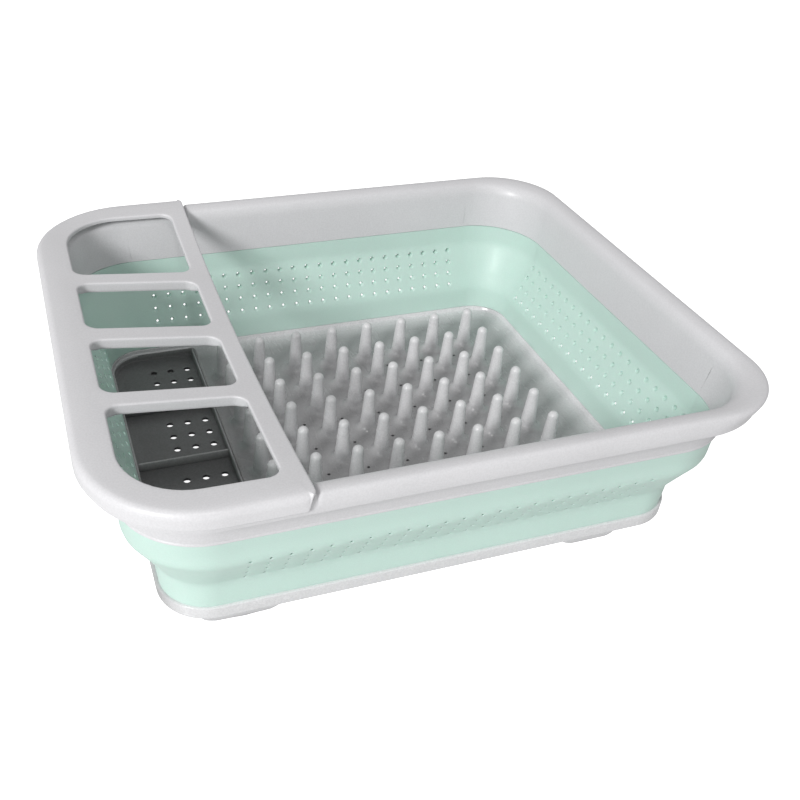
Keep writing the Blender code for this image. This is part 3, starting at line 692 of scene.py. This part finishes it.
def make_well_walls():
    """Sides of the cutlery well: a closed section carried round its outline by growing the box."""
    seam_r, side_r, under_z = 0.0035, 0.0195, 0.0020
    rows = [(-0.0050, WELL_FLOOR_Z + 0.00005), (0.0, WELL_FLOOR_Z + 0.0001), (0.0, FLOOR_Z + 0.0001),
            (0.0020, FLOOR_Z + 0.0001), (0.0020, under_z), (-0.0050, under_z + 0.0001)]
    cuts = np.array([0.1, 1.4, 0.7, 0.6, 0.8, 0.1]) * MM
    profile = softened(rows, cuts, steps=5, closed=True)
    rings = [level_outline(WELL_LEFT_X - g, WELL_RIGHT_X + g, -WELL_END_Y - g, WELL_END_Y + g, z,
                           [seam_r + g, side_r + g, side_r + g, seam_r + g]) for g, z in profile]
    return new_mesh("well_walls", [grid(np.array(rings), True, True)])


def make_well_floor():
    """Sunk floor of the cutlery side, with three by three drain holes in each compartment."""
    first_x, pitch_x, pitch_y = -0.0957, 0.0116, 0.0130
    margin, blank_x = 0.0044, -0.1345
    columns = first_x - pitch_x * np.array([2.5, 1.5, 0.5, -0.5])
    u_edges = np.concatenate([[WELL_LEFT_X + margin, blank_x], columns, [WELL_RIGHT_X - 0.0008]])
    rows = np.array(COMPARTMENT_MIDDLES)[:, None] + np.array([-1.5, -0.5, 0.5, 1.5]) * pitch_y
    end = WELL_END_Y - margin
    v_edges = np.concatenate([[-end], rows.ravel(), [end]])
    pierced = np.zeros((len(u_edges) - 1, len(v_edges) - 1), bool)
    for start in (1, 5, 9, 13):
        pierced[2:5, start:start + 3] = True
    parts = [pierced_sheet(u_edges, v_edges, pierced, WELL_HOLE_R, flat_place(WELL_FLOOR_Z))]
    return thickened(upward(new_mesh("well_floor", parts)), PLATE_THICK)


def rib(node_name):
    """A bar on the CAD rib's place: its rounded-top section carried from end to end, and drawn in a
    little over the last 0.9 mm."""
    low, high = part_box(node_name)
    along_y = high.y - low.y > high.x - low.x
    half = (high.x - low.x if along_y else high.y - low.y) / 2
    middle = (low.x + high.x if along_y else low.y + high.y) / 2
    begin, end = (low.y, high.y) if along_y else (low.x, high.x)
    a = np.linspace(0, np.pi, 9)
    top = np.stack([half * np.cos(a), high.z - half + half * np.sin(a)], -1)
    foot_half = half * 1.25
    section = np.concatenate([[(foot_half, low.z)], top, [(-foot_half, low.z)]])
    stops = np.array([0.0, 0.0004, 0.0009])
    run = np.concatenate([begin + stops, [(begin + end) / 2], end - stops[::-1]])
    shrink = np.array([0.35, 0.8, 1.0, 1.0, 1.0, 0.8, 0.35])
    across = middle + section[None, :, 0] * shrink[:, None]
    height = np.broadcast_to(section[None, :, 1], across.shape)
    length = np.broadcast_to(run[:, None], across.shape)
    return capped(np.stack([across, length, height] if along_y else [length, across, height], -1))


def make_ribs():
    """The four ribs of the cutlery well as one piece."""
    parts = []
    for name in RIBS:
        parts += rib(name)
    return new_mesh("cutlery_ribs", parts, crease=50)


def make_foot(corner):
    """A pad that swells out to the strip above it: rounded boxes stacked from the strip to the ground.

    With t from 0 on the ground to 1 at the strip's underside, each end draws in by a power of 1 - t
    and the outer side leans out by 2.9 mm t^0.7 + 1 mm (1 - t). Above its CAD pad a left foot is only
    as deep as the strip outside the well, and a right one ends in a small step under the floor.
    """
    low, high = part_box(f"foot_{corner}")
    front = low.y < 0
    inner, outer = (high.y, low.y) if front else (low.y, high.y)
    out = -1 if front else 1
    t = np.array([1.0, 0.86, 0.7, 0.52, 0.36, 0.22, 0.12, 0.05, 0.015, 0.0])
    left_foot = high.z < STRIP_FOOT_Z
    left = 0.0020 + 0.0110 * (1 - t) ** 1.5 if left_foot else 0.0020 + 0.0045 * (1 - t) ** 2
    right = 0.0080 * (1 - t) ** 1.4 - 0.0045 if left_foot else 0.0030 * (1 - t) ** 2 - 0.0005
    reach = 0.0029 * t ** 0.7 + 0.0010 * (1 - t)
    z = low.z + (STRIP_FOOT_Z + 0.0002 - low.z) * t
    wall = out * (WELL_END_Y + 0.0006)
    near = np.where(z > high.z, wall, inner) if left_foot else np.full(len(t), inner)
    top = [] if left_foot else [(0.002, 0.0, out * 0.0004, high.z, inner)]
    rows = top + list(zip(left, right, out * reach, z, near))
    full_r = 0.0110 if left_foot else 0.0055
    rings = []
    for begin, end, lean, level, near_y in rows:
        y0, y1 = sorted((near_y, outer + lean))
        r = min(full_r, (y1 - y0) * 0.49)
        rings.append(level_outline(low.x + begin, high.x - end, y0, y1, level, [r] * 4))
    return new_mesh(f"foot_pad_{corner}", capped(np.array(rings)), crease=50)


# ---------------------------------------------------------------- cutlery frame
FRAME_CORNER_R = LEFT_LIP_R + 0.0020
SEAM_CORNER_R = 0.0045
SQUARE_D = 0.009
SIDE_STEPS = 14
TURN_STEPS = 12
OPENING_SMALL_R = 0.0070
OPENING_BIG_R = 0.0330
PLATE_EDGE = 0.0020        # how far down the plate's underside lies


def dish(x, y):
    """z drop: sag * clamp((x - x0) / (x1 - x0)) * max(0, 1 - (y / half)^2)."""
    across = np.clip((x - DISH_LEFT_X) / (FRAME_RIGHT_X - DISH_LEFT_X), 0, 1)
    return DISH_SAG * across * np.clip(1 - (y / DISH_HALF_Y) ** 2, 0, None)


def tile_loop(x0, x1, y0, y1, radii, square):
    """Closed loops, one for each row of the arguments, as (rows, points, 2).

    Each corner has a quarter turn of points at c + d (cos a, sin a) / n, where n is 1 on a round
    corner and max(|cos a|, |sin a|) on a square one, and even steps join the corners.
    """
    turn = np.linspace(0, np.pi / 2, TURN_STEPS + 1)
    ends_x = [x1, x0, x0, x1]
    ends_y = [y1, y1, y0, y0]
    signs = [(-1, -1), (1, -1), (1, 1), (-1, 1)]
    parts = []
    for k in range(4):
        a = turn + k * np.pi / 2
        n = np.maximum(np.abs(np.cos(a)), np.abs(np.sin(a))) if square[k] else np.ones_like(a)
        cx = ends_x[k] + signs[k][0] * radii[k]
        cy = ends_y[k] + signs[k][1] * radii[k]
        x = cx + radii[k] * np.cos(a) / n
        y = cy + radii[k] * np.sin(a) / n
        parts.append(np.stack(np.broadcast_arrays(x, y), -1))
    loops = []
    share = (np.arange(1, SIDE_STEPS) / SIDE_STEPS)[None, :, None]
    for k in range(4):
        start = parts[k][:, -1:, :]
        end = parts[(k + 1) % 4][:, :1, :]
        loops += [parts[k], start + (end - start) * share]
    return np.concatenate(loops, 1)


def as_rows(value):
    """One number or an array, as a column with one row for each loop."""
    return np.atleast_1d(np.asarray(value, float))[:, None]


def outer_loop(tile, inset):
    """Edge of one of the four tiles of the plate; only the plate's own edges move with the inset."""
    e = as_rows(inset)
    top = FRAME_HALF_Y - e if tile == 0 else BAR_MIDDLES[tile - 1] + 0 * e
    foot = -FRAME_HALF_Y + e if tile == 3 else BAR_MIDDLES[tile] + 0 * e
    d = SQUARE_D + 0 * e
    wide = FRAME_CORNER_R - e
    tight = SEAM_CORNER_R - e
    radii = [tight if tile == 0 else d, wide if tile == 0 else d,
             wide if tile == 3 else d, tight if tile == 3 else d]
    square = [tile != 0, tile != 0, tile != 3, tile != 3]
    return tile_loop(FRAME_LEFT_X + e, FRAME_RIGHT_X - e, foot, top, radii, square)


def opening_loop(tile, grow):
    """Edge of a tile's opening, grown outwards."""
    g = as_rows(grow)
    small, big = OPENING_SMALL_R + g, OPENING_BIG_R + g
    y0, y1 = OPENING_ROWS[tile]
    radii = [small, big if tile == 0 else small, big if tile == 3 else small, small]
    return tile_loop(OPENING_LEFT_X - g, OPENING_RIGHT_X + g, y0 - g, y1 + g, radii, [False] * 4)


def edge_columns(tile):
    """Which points of a tile's loop lie on the plate's own edge, in order round the plate."""
    per = TURN_STEPS + SIDE_STEPS
    half = TURN_STEPS // 2
    count = 4 * per
    right = np.arange(3 * per + half, count + half + 1) % count
    left = np.arange(per + half, 2 * per + half + 1)
    if tile == 0:
        return [np.arange(3 * per + half, count + 2 * per + half + 1) % count]
    if tile == 3:
        return [np.arange(per + half, count + half + 1) % count]
    return [left, right]


def plate_height(points, drop):
    """Adds z = plate's top - drop - dish to points in plan."""
    z = PLATE_TOP_Z - drop - dish(points[..., 0], points[..., 1])
    return np.concatenate([points, z[..., None]], -1)


def make_cutlery_frame():
    """Four tiles, each swept from its edge over the top, down the opening's collar and back under,
    and an outer edge that turns down into a skirt except along the right side.

    Each profile is (inset, drop). The outer edge is thin + (skirt - thin) m, where m = s^2 (3 - 2 s)
    and s runs from 0 at 1.6 mm from the right side to 1 at 4.6 mm. The collar is deep along the bars
    only.
    """
    start = 0.0040
    a = np.linspace(0, np.pi / 2, 7)
    lip = 0.0011
    down = np.concatenate([np.stack([lip * (1 - np.sin(a)), lip * (1 - np.cos(a))], -1),
                           np.array([(0.0, 3.0), (0.0, 4.4), (0.0, 5.6), (0.2, 5.92), (0.7, 6.0),
                                     (1.2, 5.92), (1.4, 5.6), (1.4, 4.0), (1.4, 2.7), (1.75, 2.15),
                                     (2.6, 2.0)]) * MM])
    skirt = np.concatenate([np.stack([start * (1 - np.sin(a)), start * (1 - np.cos(a))], -1),
                            np.array([(0.0, 6.5), (0.0, 8.8), (0.15, 9.25), (0.8, 9.4), (1.45, 9.25),
                                      (1.6, 8.8), (1.6, 6.5), (1.6, 4.6), (2.1, 3.0), (3.0, 2.15),
                                      (4.0, 2.0)]) * MM])
    thin = softened(np.array([(4.0, 0.0), (0.0, 0.0), (0.0, 2.0), (4.0, 2.0)]) * MM,
                    [0, 0.0011, 0.0006, 0], steps=8)
    skirt = resampled(skirt, 30)
    thin = resampled(thin, 30)
    parts = []
    for tile in range(4):
        loop = opening_loop(tile, down[:, 0])
        bars = np.array(([BAR_MIDDLES[tile - 1]] if tile else []) + (BAR_MIDDLES[tile:tile + 1]))
        reach = np.abs(loop[..., 1:2] - bars).min(-1)
        deep = 0.12 + 0.88 * np.clip(1 - (reach - 0.0070) / 0.0060, 0, 1)
        drop = np.minimum(down[:, 1:], PLATE_EDGE) + np.maximum(down[:, 1:] - PLATE_EDGE, 0) * deep
        collar = plate_height(loop, drop)
        edge = outer_loop(tile, start)
        top_end, under_start = opening_loop(tile, down[0, 0]), opening_loop(tile, down[-1, 0])
        share = np.linspace(0, 1, 6)[:, None, None]
        top = plate_height(edge + (top_end - edge) * share, 0.0)
        under = plate_height(under_start + (edge - under_start) * share, PLATE_EDGE)
        parts.append(grid(np.concatenate([top, collar[1:-1], under]), False, True))
        for columns in edge_columns(tile):
            at_edge = outer_loop(tile, 0.0)[0, columns]
            from_side = np.clip((FRAME_RIGHT_X - 0.0016 - at_edge[:, 0]) / 0.0030, 0, 1)
            m = from_side * from_side * (3 - 2 * from_side)
            inset = thin[:, :1] + (skirt[:, :1] - thin[:, :1]) * m
            drop = thin[:, 1:] + (skirt[:, 1:] - thin[:, 1:]) * m
            rows = np.stack([outer_loop(tile, inset[:, k])[:, c] for k, c in enumerate(columns)], 1)
            parts.append(grid(plate_height(rows, drop)))
    return new_mesh("cutlery_frame_shell", parts, weld=5e-6)


# ---------------------------------------------------------------- assembly
wall = make_wall()
dress(wall, mint_rubber, None, "mint_rubber", "wall_upper_band", "wall_fold_band", "wall_lower_band")
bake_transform(wall)

dress(make_rim(), rigid_grey, "rim", "rigid_grey", "rim_frame")
dress(make_tray_edge(), tray_grey, "base", "rigid_grey", "base_tray")
dress(make_peg_floor(), tray_grey, "base", "rigid_grey")
dress(make_well_walls(), well_painted_shade_grey, "base", "rigid_grey")
dress(make_well_floor(), well_painted_shade_grey, "base", "rigid_grey")
dress(make_pegs(), tray_grey, "base", "rigid_grey", *[f"peg_row_{n}" for n in range(1, PEG_ROWS + 1)])
dress(make_ribs(), well_painted_shade_grey, "base", "rigid_grey", *RIBS)
for corner in ("front_left", "front_right", "back_left", "back_right"):
    dress(make_foot(corner), foot_rubber, "base", "grey_rubber", f"foot_{corner}")
dress(make_cutlery_frame(), rigid_grey, "cutlery_holder", "rigid_grey", "cutlery_frame")

# ---------------------------------------------------------------- floor, light and camera
floor_mesh = bpy.data.meshes.new("studio_floor")
floor_mesh.from_pydata([(-6, -6, 0), (6, -6, 0), (6, 6, 0), (-6, 6, 0)], [], [(0, 1, 2, 3)])
studio_floor = bpy.data.objects.new("studio_floor", floor_mesh)
bpy.context.scene.collection.objects.link(studio_floor)
floor_look = bpy.data.materials.new("studio_floor_white")
floor_look.use_nodes = True
floor_tree = floor_look.node_tree
floor_shader = floor_tree.nodes["Principled BSDF"]
floor_shader.inputs["Base Color"].default_value = (0.55, 0.55, 0.55, 1)
floor_shader.inputs["Roughness"].default_value = 0.9
floor_shader.inputs["Emission Color"].default_value = (1, 1, 1, 1)
seen = node(floor_tree, "ShaderNodeLightPath").outputs["Is Camera Ray"]
floor_tree.links.new(ranged(floor_tree, seen, 0.20, 1.0, 0.0, 1.0), floor_shader.inputs["Emission Strength"])
floor_mesh.materials.append(floor_look)

world = bpy.data.worlds.new("studio")
world.use_nodes = True
world.node_tree.nodes["Background"].inputs["Color"].default_value = (1, 1, 1, 1)
world.node_tree.nodes["Background"].inputs["Strength"].default_value = 0.44
bpy.context.scene.world = world


def area_light(name, place, target, size, power):
    """A square soft light at a place, turned to its target."""
    data = bpy.data.lights.new(name, "AREA")
    data.size = size
    data.energy = power
    made = bpy.data.objects.new(name, data)
    made.location = place
    made.rotation_euler = (Vector(target) - Vector(place)).to_track_quat("-Z", "Y").to_euler()
    bpy.context.scene.collection.objects.link(made)
    return made


area_light("key", (-1.75, -1.4, 1.30), (0, 0, 0.05), 0.60, 47)
area_light("spark", (-0.3, -1.2, 2.2), (0, 0, 0.05), 0.16, 7)

CAMERA_PLACE = (-0.180912, -0.441877, 0.372587)
CAMERA_ANGLES = (20.873, 38.531, 3.476)    # degrees to the right, down, and rolled
yaw, pitch, roll = (math.radians(angle) for angle in CAMERA_ANGLES)
forward = Vector((math.sin(yaw) * math.cos(pitch), math.cos(yaw) * math.cos(pitch), -math.sin(pitch)))
level = Vector((math.cos(yaw), -math.sin(yaw), 0.0))
upright = level.cross(forward)
right = math.cos(roll) * level + math.sin(roll) * upright
up = -math.sin(roll) * level + math.cos(roll) * upright
lens = bpy.data.cameras.new("camera")
lens.sensor_width = 36.0
lens.lens = 41.75
lens.shift_x = 0.068
lens.shift_y = 0.0584
lens.clip_start = 0.05
lens.clip_end = 50.0
camera = bpy.data.objects.new("camera", lens)
bpy.context.scene.collection.objects.link(camera)
turned = Matrix((right, up, -forward)).transposed().to_4x4()
turned.translation = Vector(CAMERA_PLACE)
camera.matrix_world = turned
bpy.context.scene.camera = camera
bpy.context.scene.view_settings.view_transform = "Standard"
